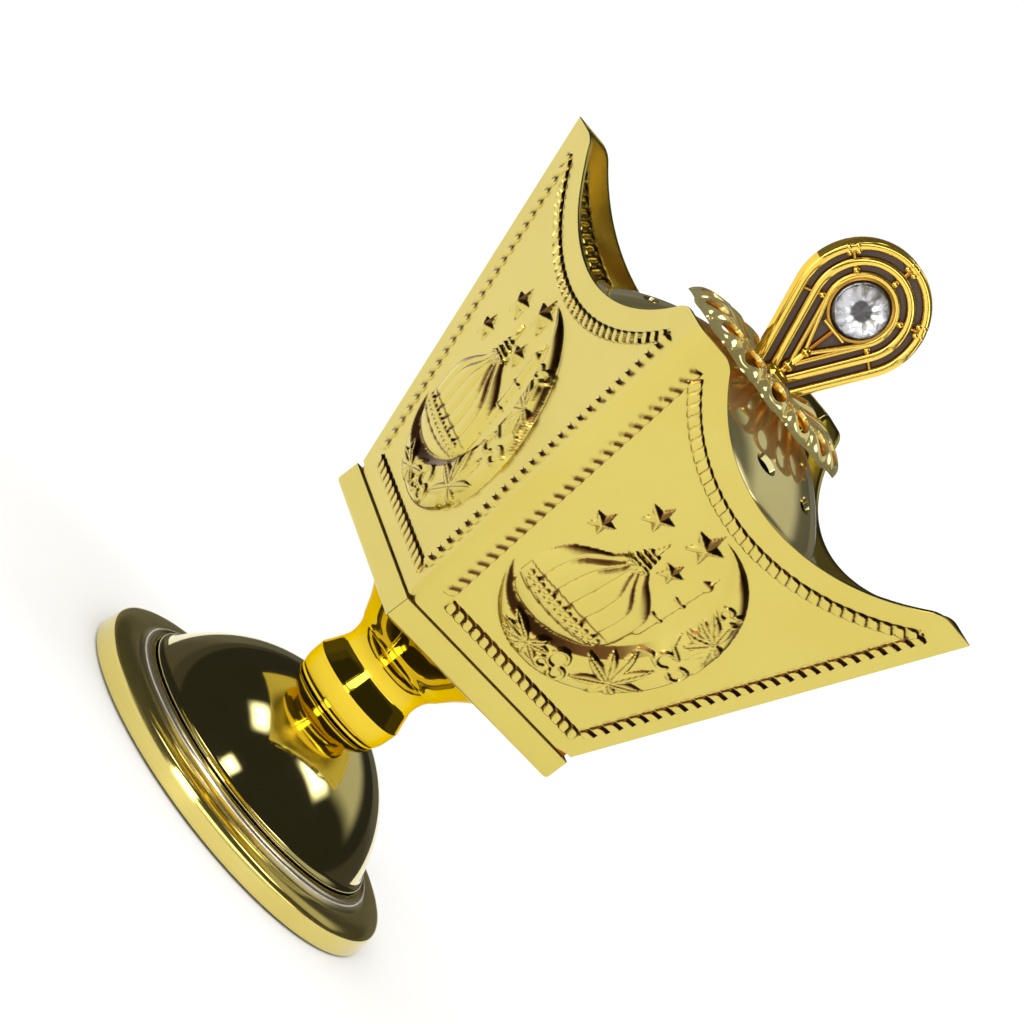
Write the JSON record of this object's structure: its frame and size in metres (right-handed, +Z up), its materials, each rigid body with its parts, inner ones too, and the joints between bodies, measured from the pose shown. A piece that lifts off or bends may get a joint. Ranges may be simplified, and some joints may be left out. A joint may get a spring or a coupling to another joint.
{
  "type": "incense burner",
  "caption": "Square flared incense burner on a round foot, with a lift-out charcoal bowl, a domed lid with smoke holes and a teardrop finial.",
  "frame": {"origin": "centre of the underside of the round foot, on the table", "axes": "+Z up along the axis of foot, stem, bowl and lid; the four faces of the square body are square to X and Y"},
  "size_m": [0.0848, 0.0848, 0.157],
  "materials": {
    "satin_gold": "satin pale gold plate on pressed sheet",
    "mirror_gold": "mirror yellow gold plate",
    "pale_mirror_gold": "mirror pale gold plate",
    "zinc_steel": "zinc plated steel",
    "black_rubber": "matt black",
    "crystal": "cut clear stone, foiled back"
  },
  "bodies": {
    "root": {"foot_pad": "black_rubber", "base_cover": "zinc_steel", "base_rim": "satin_gold", "base_dome": "pale_mirror_gold", "base_washer": "zinc_steel", "base_nut": "zinc_steel", "tie_rod": "zinc_steel", "stem": "mirror_gold", "tray": "satin_gold", "tray_washer": "zinc_steel", "tray_nut": "zinc_steel", "body_sheet_front": "satin_gold", "body_sheet_back": "satin_gold", "deck_plate": "satin_gold"},
    "bowl": {"charcoal_bowl": "zinc_steel"},
    "lid": {"lid_dome": "pale_mirror_gold", "lid_washer": "zinc_steel", "lid_screw": "zinc_steel", "flower_cap": "pale_mirror_gold", "finial": "mirror_gold", "crystal_front": "crystal", "crystal_back": "crystal"}
  },
  "joints": [
    {"name": "bowl_lift", "type": "slide", "parent": "root", "child": "bowl", "axis": [0, 0, 1], "range_m": [0, 0.045]},
    {"name": "lid_lift", "type": "slide", "parent": "bowl", "child": "lid", "axis": [0, 0, 1], "range_m": [0, 0.05]}
  ]
}
